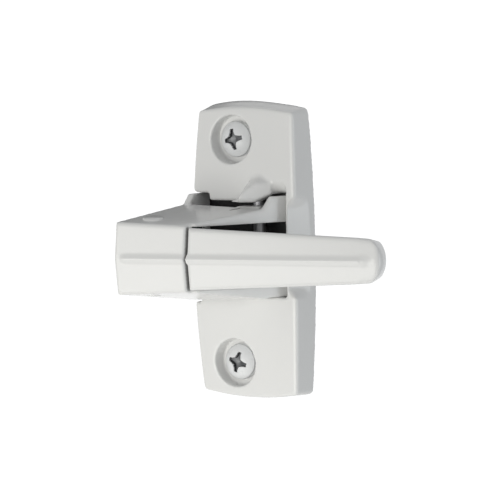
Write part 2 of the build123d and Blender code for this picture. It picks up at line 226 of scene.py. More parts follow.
class NodeGroup:
    """A shader node group, which is built once and placed in any number of materials."""

    name: str
    inputs: dict[str, float | Place]
    outputs: tuple[str, ...]

    def group(self) -> bpy.types.NodeTree:
        """Return the group, which is built the first time.

        Returns:
            The group's node tree.
        """
        found = bpy.data.node_groups.get(self.name)
        if found is not None:
            return found
        made = bpy.data.node_groups.new(self.name, "ShaderNodeTree")
        tree = ShaderTree(made)
        for name, value in self.inputs.items():
            kind = "NodeSocketVector" if isinstance(value, tuple) else "NodeSocketFloat"
            made.interface.new_socket(name, in_out="INPUT", socket_type=kind).default_value = value
        for name in self.outputs:
            made.interface.new_socket(name, in_out="OUTPUT", socket_type="NodeSocketFloat")
        self.fill(tree, tree.add("NodeGroupInput"), tree.add("NodeGroupOutput"))
        return made

    def fill(self, tree: ShaderTree, given: bpy.types.Node, result: bpy.types.Node) -> None:
        """Add the group's nodes between its input node and its output node."""
        raise NotImplementedError

    def place(self, tree: ShaderTree, **values: float | Place) -> bpy.types.Node:
        """Place the group in a material.

        Args:
            tree: The material's tree.
            values: The group's inputs, by name with underscores for spaces.

        Returns:
            The group's node.
        """
        node = tree.add("ShaderNodeGroup", node_tree=self.group())
        for key, value in values.items():
            node.inputs[key.replace("_", " ")].default_value = value
        return node


class PaintSkin(NodeGroup):
    """Sprayed paint: slow changes of tone, the pebbled flow of the coat and fine grain."""

    name = "paint_skin"
    inputs = {"Cloud Scale": 55.0, "Flow Scale": 700.0, "Grain Scale": 3600.0, "Grain Share": 0.3}
    outputs = ("Tone", "Gloss", "Height")
    details = {"Cloud": 3.0, "Flow": 1.0, "Grain": 2.0}

    def fill(self, tree: ShaderTree, given: bpy.types.Node, result: bpy.types.Node) -> None:
        """Add three sizes of noise and mix the two finer ones to a height.

        Args:
            tree: The group's tree.
            given: The group's input node.
            result: The group's output node.
        """
        place = tree.add("ShaderNodeTexCoord").outputs["Object"]
        cloud, flow, grain = (
            tree.noise(place, given.outputs[f"{size} Scale"], detail) for size, detail in self.details.items()
        )
        fine = tree.math("MULTIPLY", grain, given.outputs["Grain Share"])
        tree.link(tree.stretch(cloud), result.inputs["Tone"])
        tree.link(tree.stretch(flow), result.inputs["Gloss"])
        tree.link(tree.math("ADD", flow, fine), result.inputs["Height"])


class DrawnMetal(NodeGroup):
    """Bare drawn or rolled metal: lines along the draw and slow stains."""

    name = "drawn_metal"
    inputs = {"Line Scale": 5200.0, "Stain Scale": 240.0, "Stretch": (1.0, 1.0, 1.0)}
    outputs = ("Tone", "Gloss", "Height")

    def fill(self, tree: ShaderTree, given: bpy.types.Node, result: bpy.types.Node) -> None:
        """Add lines stretched along one axis and stains.

        Args:
            tree: The group's tree.
            given: The group's input node.
            result: The group's output node.
        """
        place = tree.add("ShaderNodeTexCoord").outputs["Object"]
        drawn = tree.vector_math("MULTIPLY", place, given.outputs["Stretch"])
        lines = tree.noise(drawn, given.outputs["Line Scale"])
        stains = tree.noise(place, given.outputs["Stain Scale"])
        tree.link(tree.stretch(stains), result.inputs["Tone"])
        tree.link(tree.stretch(lines), result.inputs["Gloss"])
        tree.link(lines, result.inputs["Height"])


class ShadeBoxMask(NodeGroup):
    """A mask that is one inside a box turned about Z and zero outside it, where a coat paints shade."""

    name = "shade_box_mask"
    inputs = {"Low": (0.0, 0.0, 0.0), "High": (0.0, 0.0, 0.0), "Turn": 0.0, "Fade": 0.0}
    outputs = ("Mask",)

    def fill(self, tree: ShaderTree, given: bpy.types.Node, result: bpy.types.Node) -> None:
        """Add the depth inside the box and ramp it up over the fade.

        Args:
            tree: The group's tree.
            given: The group's input node.
            result: The group's output node.
        """
        turned = tree.add("ShaderNodeVectorRotate", rotation_type="Z_AXIS")
        tree.link(tree.add("ShaderNodeTexCoord").outputs["Object"], turned.inputs["Vector"])
        tree.link(given.outputs["Turn"], turned.inputs["Angle"])
        place = turned.outputs[0]
        above = tree.vector_math("SUBTRACT", place, given.outputs["Low"])
        below = tree.vector_math("SUBTRACT", given.outputs["High"], place)
        parts = tree.add("ShaderNodeSeparateXYZ")
        tree.link(tree.vector_math("MINIMUM", above, below), parts.inputs[0])
        depth = tree.math("MINIMUM", parts.outputs["X"], parts.outputs["Y"])
        depth = tree.math("MINIMUM", depth, parts.outputs["Z"])
        ramp = tree.add("ShaderNodeMapRange")
        tree.link(depth, ramp.inputs["Value"])
        tree.link(given.outputs["Fade"], ramp.inputs["From Max"])
        tree.link(ramp.outputs["Result"], result.inputs["Mask"])


@dataclass(frozen=True)
class ShadeBox:
    """The box inside a casting where its coat is painted dark as shade, turned about Z."""

    low: Place
    high: Place
    turn: float = 0.0
    fade: float = 0.05

    def mask(self, tree: ShaderTree) -> bpy.types.NodeSocket:
        """Return a socket that is one inside.

        Args:
            tree: The material's tree.

        Returns:
            The mask's socket.
        """
        node = ShadeBoxMask().place(
            tree,
            Low=tuple(value * MM for value in self.low),
            High=tuple(value * MM for value in self.high),
            Turn=math.radians(self.turn),
            Fade=self.fade * MM,
        )
        return node.outputs["Mask"]


@dataclass(frozen=True)
class Finish:
    """What every finish has: two close colours, a range of roughness and a shallow relief."""

    name: str
    light: Colour
    dark: Colour
    smooth: float
    rough: float
    relief: float
    relief_strength: float

    def surface(self, tree: ShaderTree) -> bpy.types.Node:
        """Return the node of the surface group that this finish uses."""
        raise NotImplementedError

    def tint(self, tree: ShaderTree, colour: bpy.types.NodeSocket) -> bpy.types.NodeSocket:
        """Return the colour as this finish changes it in some places."""
        return colour

    def shade(self, shader: bpy.types.Node) -> None:
        """Set the shader's plain values."""
        raise NotImplementedError

    def material(self) -> bpy.types.Material:
        """Return the finish's material, which is made the first time.

        Returns:
            The material.
        """
        found = bpy.data.materials.get(self.name)
        if found is not None:
            return found
        made = bpy.data.materials.new(self.name)
        made.use_nodes = True
        tree = ShaderTree(made.node_tree)
        surface = self.surface(tree)
        mix = tree.add("ShaderNodeMix", data_type="RGBA")
        mix.inputs["A"].default_value = (*self.light, 1.0)
        mix.inputs["B"].default_value = (*self.dark, 1.0)
        tree.link(surface.outputs["Tone"], mix.inputs["Factor"])
        roughness = tree.add("ShaderNodeMapRange")
        roughness.inputs["To Min"].default_value = self.smooth
        roughness.inputs["To Max"].default_value = self.rough
        tree.link(surface.outputs["Gloss"], roughness.inputs["Value"])
        bump = tree.add("ShaderNodeBump")
        bump.inputs["Strength"].default_value = self.relief_strength
        bump.inputs["Distance"].default_value = self.relief * MM
        tree.link(surface.outputs["Height"], bump.inputs["Height"])
        shader = tree.add("ShaderNodeBsdfPrincipled")
        tree.link(self.tint(tree, mix.outputs["Result"]), shader.inputs["Base Color"])
        tree.link(roughness.outputs["Result"], shader.inputs["Roughness"])
        tree.link(bump.outputs["Normal"], shader.inputs["Normal"])
        self.shade(shader)
        tree.link(shader.outputs["BSDF"], tree.add("ShaderNodeOutputMaterial").inputs["Surface"])
        return made


@dataclass(frozen=True)
class Paint(Finish):
    """A sprayed coat on a casting."""

    flow_scale: float = 700.0
    # inside is the box where the coat is painted dark as shade, and bare is the colour of that painted shade.
    inside: ShadeBox | None = None
    bare: Colour = (0.04, 0.04, 0.041)
    refraction: float = 1.5

    def tint(self, tree: ShaderTree, colour: bpy.types.NodeSocket) -> bpy.types.NodeSocket:
        """Return the coat's colour, with painted shade inside the box and where the vertex attribute marks
        the mesh.

        Args:
            tree: The material's tree.
            colour: The coat's colour.

        Returns:
            The socket of the colour with the painted shade.
        """
        if self.inside is None:
            return colour
        # Painted shade: the coat goes dark inside the box and where the vertex attribute marks the mesh.
        mix = tree.add("ShaderNodeMix", data_type="RGBA")
        mix.inputs["B"].default_value = (*self.bare, 1.0)
        shade_mark = tree.add("ShaderNodeAttribute", attribute_name=PAINTED_SHADE)
        tree.link(tree.math("MAXIMUM", self.inside.mask(tree), shade_mark.outputs["Fac"]), mix.inputs["Factor"])
        tree.link(colour, mix.inputs["A"])
        return mix.outputs["Result"]

    def surface(self, tree: ShaderTree) -> bpy.types.Node:
        """Return the paint's surface node."""
        return PaintSkin().place(tree, Flow_Scale=self.flow_scale)

    def shade(self, shader: bpy.types.Node) -> None:
        """Set a non-metal shader."""
        shader.inputs["Metallic"].default_value = 0.0
        shader.inputs["IOR"].default_value = self.refraction


@dataclass(frozen=True)
class BareMetal(Finish):
    """Bare steel with drawing lines."""

    grain: Grain = Grain.NONE

    def surface(self, tree: ShaderTree) -> bpy.types.Node:
        """Return the metal's surface node."""
        return DrawnMetal().place(tree, Stretch=self.grain.value)

    def shade(self, shader: bpy.types.Node) -> None:
        """Set a metal shader."""
        shader.inputs["Metallic"].default_value = 1.0


WHITE_COAT = Paint(
    name="white_coat",
    light=(0.81, 0.81, 0.80),
    dark=(0.80, 0.80, 0.79),
    smooth=0.17,
    rough=0.23,
    relief=0.01,
    relief_strength=0.05,
)
# The boxes cover the case's window and the arm's fork, whose inside is painted near black as shade.
CASE_COAT = replace(
    WHITE_COAT,
    name="case_coat",
    inside=ShadeBox(low=(-9.3, -5.6, -7.0), high=(13.15, -0.2, 11.65)),
)
ARM_COAT = replace(
    WHITE_COAT,
    name="arm_coat",
    inside=ShadeBox(low=(-7.05, -22.0, -6.21), high=(60.0, 0.0, 6.21), turn=7.25),
)
SCREW_COAT = Paint(
    name="screw_coat",
    light=(0.79, 0.80, 0.81),
    dark=(0.75, 0.76, 0.77),
    smooth=0.26,
    rough=0.36,
    relief=0.02,
    relief_strength=0.15,
    flow_scale=1100.0,
)
# Bare steel in the cross recess, darkened below steel's own colour as painted shade of the recess.
SHADED_RECESS_STEEL = BareMetal(
    name="shaded_recess_steel",
    light=(0.19, 0.194, 0.2),
    dark=(0.05, 0.051, 0.053),
    smooth=0.4,
    rough=0.6,
    relief=0.03,
    relief_strength=0.4,
)
PLATED_STEEL = BareMetal(
    name="plated_steel",
    light=(0.62, 0.63, 0.65),
    dark=(0.5, 0.51, 0.54),
    smooth=0.22,
    rough=0.36,
    relief=0.01,
    relief_strength=0.2,
)
PIN_STEEL = BareMetal(
    name="pin_steel",
    light=(0.14, 0.14, 0.145),
    dark=(0.09, 0.09, 0.093),
    smooth=0.3,
    rough=0.45,
    relief=0.01,
    relief_strength=0.2,
    grain=Grain.ALONG_Z,
)
SPRING_STEEL = BareMetal(
    name="spring_steel",
    light=(0.66, 0.66, 0.67),
    dark=(0.52, 0.52, 0.53),
    smooth=0.16,
    rough=0.3,
    relief=0.01,
    relief_strength=0.15,
)


def dress(node: bpy.types.Object, finish: Finish) -> None:
    """Give a CAD node its finish.

    Args:
        node: The node's object.
        finish: The finish that it gets.
    """
    node.data.materials.clear()
    node.data.materials.append(finish.material())
    LOG.info("%s is finished in %s", node.name, finish.name)


def show(name: str, mesh: bmesh.types.BMesh, materials: list[bpy.types.Material]) -> bpy.types.Object:
    """Put a mesh in the scene as an object at the origin, and free it.

    Args:
        name: The object's name.
        mesh: The mesh.
        materials: The materials of its slots.

    Returns:
        The new object.
    """
    data = bpy.data.meshes.new(name)
    mesh.to_mesh(data)
    mesh.free()
    for material in materials:
        data.materials.append(material)
    made = bpy.data.objects.new(name, data)
    bpy.context.scene.collection.objects.link(made)
    return made


def smooth_faces(mesh: bmesh.types.BMesh) -> None:
    """Shade all faces of a mesh smooth."""
    for face in mesh.faces:
        face.smooth = True


def merged_copy(node: bpy.types.Object) -> bmesh.types.BMesh:
    """Copy a CAD node's mesh in millimetres, with its loose triangles joined.

    Args:
        node: The CAD node's object.

    Returns:
        The copy.
    """
    mesh = bmesh.new()
    mesh.from_mesh(node.data)
    bmesh.ops.scale(mesh, vec=(1 / MM, 1 / MM, 1 / MM), verts=mesh.verts[:])
    bmesh.ops.remove_doubles(mesh, verts=mesh.verts[:], dist=NODE_MERGE)
    return mesh


def gridded_copy(node: bpy.types.Object, grid: float) -> bmesh.types.BMesh:
    """Copy a CAD node's mesh in millimetres onto an even grid that no edge runs along.

    Args:
        node: The CAD node's object.
        grid: The grid's step.

    Returns:
        The copy, with smooth faces.
    """
    turn = Matrix.Rotation(math.radians(GRID_TURN), 4, Vector(GRID_AXIS).normalized())
    mesh = merged_copy(node)
    bmesh.ops.transform(mesh, matrix=turn, verts=mesh.verts[:])
    bare = show("bare_copy", mesh, [])
    remesh = bare.modifiers.new("grid", "REMESH")
    remesh.mode = "VOXEL"
    remesh.voxel_size = grid
    laid = bpy.data.meshes.new_from_object(bare.evaluated_get(bpy.context.evaluated_depsgraph_get()))
    laid.transform(turn.inverted())
    mesh = bmesh.new()
    mesh.from_mesh(laid)
    smooth_faces(mesh)
    bare_data = bare.data
    bpy.data.objects.remove(bare)
    bpy.data.meshes.remove(bare_data)
    bpy.data.meshes.remove(laid)
    return mesh


class Piece:
    """A mesh that is built with bmesh in millimetres and then placed on a CAD body."""

    def __init__(self, name: str, mesh: bmesh.types.BMesh | None = None) -> None:
        """Start with a mesh, or with an empty one where none is given."""
        self.name = name
        self.mesh = bmesh.new() if mesh is None else mesh

    def flow(self, rounds: int, verts: list[bmesh.types.BMVert] | None = None) -> None:
        """Let the coat flow, which rounds the edges.

        Args:
            rounds: How often every vertex moves towards its neighbours' middle.
            verts: The vertices that move, all of them where none are given.
        """
        for _ in range(rounds):
            bmesh.ops.smooth_vert(
                self.mesh,
                verts=verts or self.mesh.verts[:],
                factor=FLOW_FACTOR,
                use_axis_x=True,
                use_axis_y=True,
                use_axis_z=True,
            )

    def spin(self, line: list[Place], centre: Place, axis: Place, steps: int) -> list[bmesh.types.BMFace]:
        """Turn a line of points round an axis.

        Args:
            line: The points.
            centre: A place on the axis.
            axis: The axis's direction.
            steps: The number of steps of the full turn.

        Returns:
            The new faces.
        """
        before = set(self.mesh.faces)
        verts = [self.mesh.verts.new(point) for point in line]
        edges = [self.mesh.edges.new(pair) for pair in zip(verts, verts[1:])]
        bmesh.ops.spin(
            self.mesh,
            geom=verts + edges,
            cent=centre,
            axis=axis,
            angle=FULL_TURN,
            steps=steps,
            use_merge=True,
        )
        made = [face for face in self.mesh.faces if face not in before]
        near = list(dict.fromkeys(vert for face in made for vert in face.verts))
        bmesh.ops.remove_doubles(self.mesh, verts=near, dist=SPUN_MERGE)
        return [face for face in self.mesh.faces if face not in before]

    def finish(self, finishes: list[Finish], body: Body, slot: Slot, node: str | None = None) -> None:
        """Make the object, give it its materials and set it on its body.

        Args:
            finishes: The finishes of its material slots.
            body: The body that it rides on.
            slot: The record's slot of its finish, which is not used.
            node: The CAD node that it stands for, if there is one.
        """
        bmesh.ops.recalc_face_normals(self.mesh, faces=self.mesh.faces[:])
        bmesh.ops.scale(self.mesh, vec=(MM, MM, MM), verts=self.mesh.verts[:])
        made = show(self.name, self.mesh, [finish.material() for finish in finishes])
        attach(made, body.value)
        if node is not None:
            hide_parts(node)
        LOG.info("%s on %s has %d faces", made.name, body.value, len(made.data.polygons))


@dataclass
class CrossScrew:
    """A domed screw with a cross recess in its painted head and a rolled thread."""

    name: str
    node: str
    height: float
    recess_turn: float
    seat: float = -3.2
    head_radius: float = 3.6
    head_edge: float = 0.9
    head_dome: float = 1.5
    rim_radius: float = 0.25
    front_from: float = 0.3
    recess_reach: float = 2.05
    recess_tip: float = 0.72
    recess_root: float = 2.5
    recess_depth: float = 1.5
    recess_rise: float = 0.7
    recess_edge: float = 0.07
    ring_step: float = 0.075
    segments: int = 144
    thread_radius: float = 2.08
    core_radius: float = 1.66
    neck_end: float = 0.5
    thread_pitch: float = 0.794
    thread_crest: float = 0.1
    thread_root: float = 0.62
    thread_steps: int = 36
    tip: float = 16.0
    tip_chamfer: float = 0.55
    tip_tilt: float = 0.5
    axis: Place = (0.0, 1.0, 0.0)

    def centre(self) -> Place:
        """Return the place where the screw's axis meets the door face."""
        return (0.0, 0.0, self.height)

    def dome_height(self, radius: float) -> float:
        """Return how far the head's dome stands off its seat.

        Args:
            radius: The distance from the screw's axis.

        Returns:
            The dome's height there.
        """
        dome_radius = (self.head_radius**2 + self.head_dome**2) / (2 * self.head_dome)
        dome_centre = self.head_edge + self.head_dome - dome_radius
        return dome_centre + math.sqrt(dome_radius**2 - radius**2)

    def recess_distance(self, x: float, z: float) -> float:
        """Return how far a place on the head is outside the cross, below zero inside.

        Args:
            x: The place's distance from the screw's axis, to the right.
            z: The place's distance from the screw's axis, upwards.

        Returns:
            The distance.
        """
        turn = math.radians(self.recess_turn)
        u = abs(x * math.cos(turn) + z * math.sin(turn))
        v = abs(z * math.cos(turn) - x * math.sin(turn))
        best = math.inf
        for far, side in ((u, v), (v, u)):
            share = max(0.0, 1.0 - far / self.recess_reach)
            half_width = (self.recess_tip + (self.recess_root - self.recess_tip) * share**2) / 2
            best = min(best, max(side - half_width, far - self.recess_reach))
        return best

    def recess_fall(self, x: float, z: float) -> float:
        """Return how far the recess lies under the dome.

        Args:
            x: The place's distance from the screw's axis, to the right.
            z: The place's distance from the screw's axis, upwards.

        Returns:
            The recess's depth there, zero outside the cross.
        """
        slope = min(1.0, math.hypot(x, z) / self.recess_reach)
        depth = self.recess_depth - self.recess_rise * slope
        return depth * ease(-self.recess_distance(x, z), -self.recess_edge, self.recess_edge)

    def spin(self, piece: Piece, profile: list[Span], steps: int) -> list[bmesh.types.BMFace]:
        """Turn a profile round the screw's axis.

        Args:
            piece: The piece that gets the surface.
            profile: The radius and the distance in front of the seat of each corner.
            steps: The number of steps of the full turn.

        Returns:
            The new faces.
        """
        line = [(radius, self.seat - rise, self.height) for radius, rise in profile]
        return piece.spin(line, self.centre(), self.axis, steps)

    def add_head(self, piece: Piece) -> None:
        """Add the head, with the cross pressed into its dome.

        Args:
            piece: The screw's piece.
        """
        radii = [index * self.ring_step for index in range(int(self.head_radius / self.ring_step))]
        radii.append(self.head_radius - self.rim_radius)
        profile = [(radius, self.dome_height(radius)) for radius in radii]
        profile += [
            (self.head_radius, self.head_edge - self.rim_radius),
            (self.head_radius, 0.0),
            (self.core_radius, 0.0),
        ]
        faces = self.spin(piece, profile, self.segments)
        for vert in {vert for face in faces for vert in face.verts}:
            x = vert.co.x
            z = vert.co.z - self.height
            if math.hypot(x, z) < self.recess_reach + self.recess_edge:
                vert.co.y += self.recess_fall(x, z)
        for face in faces:
            middle = face.calc_center_median()
            inside = self.recess_distance(middle.x, middle.z - self.height) < self.recess_edge / 2
            front = middle.y < self.seat - self.front_from
            face.material_index = ScrewPart.RECESS if inside and front else ScrewPart.HEAD
            face.smooth = True

    def add_shank(self, piece: Piece) -> None:
        """Add the core of the shank, with a chamfered tip.

        Args:
            piece: The screw's piece.
        """
        end = self.seat - self.tip
        profile = [
            (self.core_radius, 0.0),
            (self.core_radius, end + self.tip_chamfer),
            (self.core_radius - self.tip_chamfer, end),
            (0.0, end),
        ]
        for face in self.spin(piece, profile, self.thread_steps):
            face.material_index = ScrewPart.SHANK
            face.smooth = abs(face.normal.y) < self.tip_tilt

    def add_thread(self, piece: Piece) -> None:
        """Add the thread, a ridge that runs round the core in a helix.

        Args:
            piece: The screw's piece.
        """
        before = set(piece.mesh.faces)
        start = self.neck_end + self.thread_root
        turns = int((self.tip - self.tip_chamfer - start - self.thread_root) / self.thread_pitch)
        inside = self.core_radius - self.thread_crest
        section = [
            (inside, -self.thread_root / 2),
            (self.thread_radius, -self.thread_crest / 2),
            (self.thread_radius, self.thread_crest / 2),
            (inside, self.thread_root / 2),
        ]
        verts = [piece.mesh.verts.new((radius, start + shift, self.height)) for radius, shift in section]
        bmesh.ops.spin(
            piece.mesh,
            geom=[piece.mesh.faces.new(verts)],
            cent=self.centre(),
            axis=self.axis,
            dvec=(0.0, self.thread_pitch / self.thread_steps, 0.0),
            angle=FULL_TURN * turns,
            steps=self.thread_steps * turns,
            use_merge=False,
        )
        for face in piece.mesh.faces:
            if face not in before:
                face.material_index = ScrewPart.SHANK
                face.smooth = False

    def build(self) -> None:
        """Build the screw on the case."""
        piece = Piece(self.name)
        self.add_head(piece)
        self.add_shank(piece)
        self.add_thread(piece)
        piece.finish([SCREW_COAT, SHADED_RECESS_STEEL, PLATED_STEEL], Body.CASE, Slot.SCREW, self.node)


@dataclass
class CaseAssembly:
    """The screwed case with its screws, pivot pin and return spring."""

    screw_spacing: float = 44.45
    upper_recess_turn: float = 11.0
    lower_recess_turn: float = -16.0
    bore_reach: float = 5.7
    grid: float = 0.27
    first_rounds: int = 2
    rounds: int = 5
    rail_corner: Span = (13.5, -6.8)
    rail_turn: float = 64.0
    rail_start: Span = (-9.1, -6.7)
    rail_stop: Span = (9.0, 11.4)
    top_band: Span = (27.2, 28.6)
    top_front: Span = (0.5, 6.0)
    top_left: Span = (-4.0, 10.0)
    top_shear: float = 0.45
    pad_top: float = -8.6
    pad_band: Span = (-13.5, -10.1)
    pad_left: Span = (-6.0, -4.0)
    pad_right: Span = (0.0, 6.0)
    pad_left_lift: float = 0.3
    pad_right_lift: float = 0.12
    pad_front: float = -6.85
    hood_low: Place = (1.0, -12.0, 9.6)
    hood_high: Place = (12.0, -6.2, 18.5)
    hood_left: Span = (3.4, 5.4)
    hood_foot: Span = (9.8, 11.0)
    hood_brow: Span = (14.4, 15.5)
    hood_swell: float = 0.7
    hood_rounds: int = 2
    slope_right: float = 6.0
    slope_rounds: int = 8
    leg_turn: float = -73.5
    leg_cut: float = 1.7

    def slope_rail(self, piece: Piece) -> None:
        """Cut the rail beside the window back to a slope that faces the side.

        Args:
            piece: The case.
        """
        facing = level(self.rail_turn - 90.0)
        corner = Vector((*self.rail_corner, 0.0))
        for vert in piece.mesh.verts:
            proud = facing.dot(vert.co - corner)
            if proud > 0.0:
                share = ease(vert.co.z, *self.rail_start) * (1.0 - ease(vert.co.z, *self.rail_stop))
                vert.co -= facing * (proud * share)

    def slope_top(self, piece: Piece) -> None:
        """Lower the top face at the front and raise it at the back on the left, so that more of it shows.

        Args:
            piece: The case.
        """
        for vert in piece.mesh.verts:
            share = ease(vert.co.z, *self.top_band)
            front = ease(-vert.co.y, *self.top_front)
            left = 1.0 - ease(vert.co.x, *self.top_left)
            vert.co.z += self.top_shear * share * ((1.0 - front) * left - front)

    def lift_pad(self, piece: Piece) -> None:
        """Raise the lower pad's upper corners to close the notches under the arm.

        Args:
            piece: The case.
        """
        for vert in piece.mesh.verts:
            if vert.co.z < self.pad_top:
                lift = self.pad_left_lift * (1.0 - ease(vert.co.x, *self.pad_left))
                lift += self.pad_right_lift * ease(vert.co.x, *self.pad_right)
                vert.co.z += lift * ease(vert.co.z, *self.pad_band)

    def in_hood(self, vert: bmesh.types.BMVert) -> bool:
        """Return whether a vertex is in the box round the hood."""
        return all(low < place < high for low, place, high in zip(self.hood_low, vert.co, self.hood_high))

    def in_bore(self, vert: bmesh.types.BMVert) -> bool:
        """Return whether a vertex is at one of the screws' bores."""
        return math.hypot(vert.co.x, abs(vert.co.z) - self.screw_spacing / 2) <= self.bore_reach

    def trim_hood(self, piece: Piece) -> None:
        """Bring the hood's left slope and its brow closer in and let the coat round them.

        Args:
            piece: The case.
        """
        hood = [vert for vert in piece.mesh.verts if self.in_hood(vert)]
        slope = []
        for vert in hood:
            foot = ease(vert.co.z, *self.hood_foot)
            proud = self.pad_front - vert.co.y
            if proud > 0.0:
                left = (1.0 - ease(vert.co.x, *self.hood_left)) * foot
                share = (1.0 - left) * (1.0 - ease(vert.co.z, *self.hood_brow))
                vert.co.y += proud * (1.0 - share * (1.0 + self.hood_swell * foot))
            if foot > 0.0 and vert.co.x < self.slope_right:
                slope.append(vert)
        piece.flow(self.hood_rounds, hood)
        piece.flow(self.slope_rounds, slope)

    def build_case(self, node: bpy.types.Object) -> None:
        """Build the coated case, whose hood and bores keep crisp edges.

        Args:
            node: The CAD node's object.
        """
        piece = Piece("coated_case", gridded_copy(node, self.grid))
        self.slope_rail(piece)
        self.slope_top(piece)
        self.lift_pad(piece)
        piece.flow(self.first_rounds)
        self.trim_hood(piece)
        piece.flow(
            self.rounds,
            [vert for vert in piece.mesh.verts if not self.in_hood(vert) and not self.in_bore(vert)],
        )
        piece.finish([CASE_COAT], Body.CASE, Slot.PAINT, "base_case")

    def build_spring(self, node: bpy.types.Object) -> None:
        """Build the spring, with room for the lever's travel at the end of the leg behind the lever.

        Args:
            node: The CAD node's object.
        """
        piece = Piece("torsion_spring", merged_copy(node))
        ahead = level(self.leg_turn)
        tip = max(ahead.dot(vert.co) for vert in piece.mesh.verts)
        cut = bmesh.ops.bisect_plane(
            piece.mesh,
            geom=piece.mesh.verts[:] + piece.mesh.edges[:] + piece.mesh.faces[:],
            dist=CUT_MERGE,
            plane_co=ahead * (tip - self.leg_cut),
            plane_no=ahead,
            clear_outer=True,
        )
        rim = [part for part in cut["geom_cut"] if isinstance(part, bmesh.types.BMEdge)]
        smooth_faces(piece.mesh)
        bmesh.ops.holes_fill(piece.mesh, edges=rim, sides=0)
        piece.finish([SPRING_STEEL], Body.CASE, Slot.SPRING, "return_spring")

    def build(self, nodes: dict[str, bpy.types.Object]) -> None:
        """Build the coated case, the spring and the screws, and dress the pivot pin.

        Args:
            nodes: The CAD nodes' objects by name.
        """
        self.build_case(nodes["base_case"])
        dress(nodes["pivot_pin"], PIN_STEEL)
        self.build_spring(nodes["return_spring"])
        height = self.screw_spacing / 2
        CrossScrew("upper_cross_screw", "upper_screw", height, self.upper_recess_turn).build()
        CrossScrew("lower_cross_screw", "lower_screw", -height, self.lower_recess_turn).build()


@dataclass(frozen=True)
class Bar:
    """The line along the front of the nose and the lever, from the nose's free end."""

    left: Span = (-12.2, -28.55)
    tilt: float = 16.5
    length: float = 54.4

    def ahead(self) -> Vector:
        """Return the direction along the bar."""
        return level(self.tilt)

    def along(self, place: Vector) -> float:
        """Return how far along the bar a place is."""
        return self.ahead().dot(place - Vector((*self.left, 0.0)))

    def behind(self, place: Vector) -> float:
        """Return how far behind the bar's front a place is."""
        return level(self.tilt + 90.0).dot(place - Vector((*self.left, 0.0)))


@dataclass
class ArmAssembly:
    """The sprung latch arm with its nose and the pin that carries the lever."""

    bar: Bar = Bar()
    grid: float = 0.22
    rounds: int = 5
    # The seam and slit fields place painted shade on the nose's wall in the seam and in the slit.
    seam_span: Span = (12.0, 16.5)
    seam_depth: float = 4.5
    seam_facing: Span = (0.88, 0.99)
    seam_shade: float = 0.8
    slit_place: Span = (3.7, -10.35)
    slit_turn: float = 60.0
    slit_length: float = 2.3
    slit_width: float = 0.35
    slit_floor: float = 6.5
    head_place: Place = (-7.2, -22.6, 7.43)
    head_facing: Place = (0.0852, -0.1227, 0.989)
    head_radius: float = 2.1
    head_rise: float = 0.38
    head_crown: float = 0.95
    head_shoulder: float = 0.8
    head_edge: float = 0.12
    head_segments: int = 48

    def shade_slit(self, piece: Piece, shade_mark: bmesh.types.BMLayerItem) -> None:
        """Paint shade into the slit in the upper plate as a dark line.

        Args:
            piece: The arm.
            shade_mark: The layer that holds the mark.
        """
        ahead = level(self.slit_turn)
        aside = level(self.slit_turn + 90.0)
        middle = Vector((*self.slit_place, 0.0))
        for vert in piece.mesh.verts:
            place = vert.co - middle
            if vert.co.z > self.slit_floor and abs(ahead.dot(place)) < self.slit_length / 2:
                vert[shade_mark] = 1.0 - ease(abs(aside.dot(place)), self.slit_width / 3, self.slit_width)

    def shade_seam(self, piece: Piece, shade_mark: bmesh.types.BMLayerItem) -> None:
        """Paint shade on the wall of the nose that faces the lever across the seam.

        Args:
            piece: The arm.
            shade_mark: The layer that holds the mark.
        """
        start, end = self.seam_span
        ahead = self.bar.ahead()
        piece.mesh.normal_update()
        for vert in piece.mesh.verts:
            if start < self.bar.along(vert.co) < end and self.bar.behind(vert.co) < self.seam_depth:
                vert[shade_mark] = self.seam_shade * ease(ahead.dot(vert.normal), *self.seam_facing)

    def build_arm(self, node: bpy.types.Object) -> None:
        """Build the coated arm.

        Args:
            node: The CAD node's object.
        """
        piece = Piece("coated_arm", gridded_copy(node, self.grid))
        piece.flow(self.rounds)
        # Painted shade in the slit and on the nose's wall in the seam.
        shade_mark = piece.mesh.verts.layers.float.new(PAINTED_SHADE)
        self.shade_slit(piece, shade_mark)
        self.shade_seam(piece, shade_mark)
        piece.finish([ARM_COAT], Body.ARM, Slot.PAINT, "latch_arm")

    def build_head(self) -> None:
        """Build the painted head of the lever's pin, which lies on the upper plate."""
        piece = Piece("lever_pin_head")
        profile = [
            (0.0, self.head_rise),
            (self.head_radius - self.head_edge * 2, self.head_rise * self.head_crown),
            (self.head_radius - self.head_edge, self.head_rise * self.head_shoulder),
            (self.head_radius, 0.0),
            (self.head_radius, -self.head_edge),
            (0.0, -self.head_edge),
        ]
        line = [(radius, 0.0, rise) for radius, rise in profile]
        piece.spin(line, (0.0, 0.0, 0.0), (0.0, 0.0, 1.0), self.head_segments)
        turn = Vector(self.head_facing).to_track_quat("Z", "Y").to_matrix().to_4x4()
        place = Matrix.Translation(self.head_place) @ turn
        bmesh.ops.transform(piece.mesh, matrix=place, verts=piece.mesh.verts[:])
        smooth_faces(piece.mesh)
        piece.finish([WHITE_COAT], Body.ARM, Slot.PAINT)

    def build(self, nodes: dict[str, bpy.types.Object]) -> None:
        """Build the coated arm and the pin's head, and dress the pin.

        Args:
            nodes: The CAD nodes' objects by name.
        """
        self.build_arm(nodes["latch_arm"])
        dress(nodes["lever_pin"], WHITE_COAT)
        self.build_head()


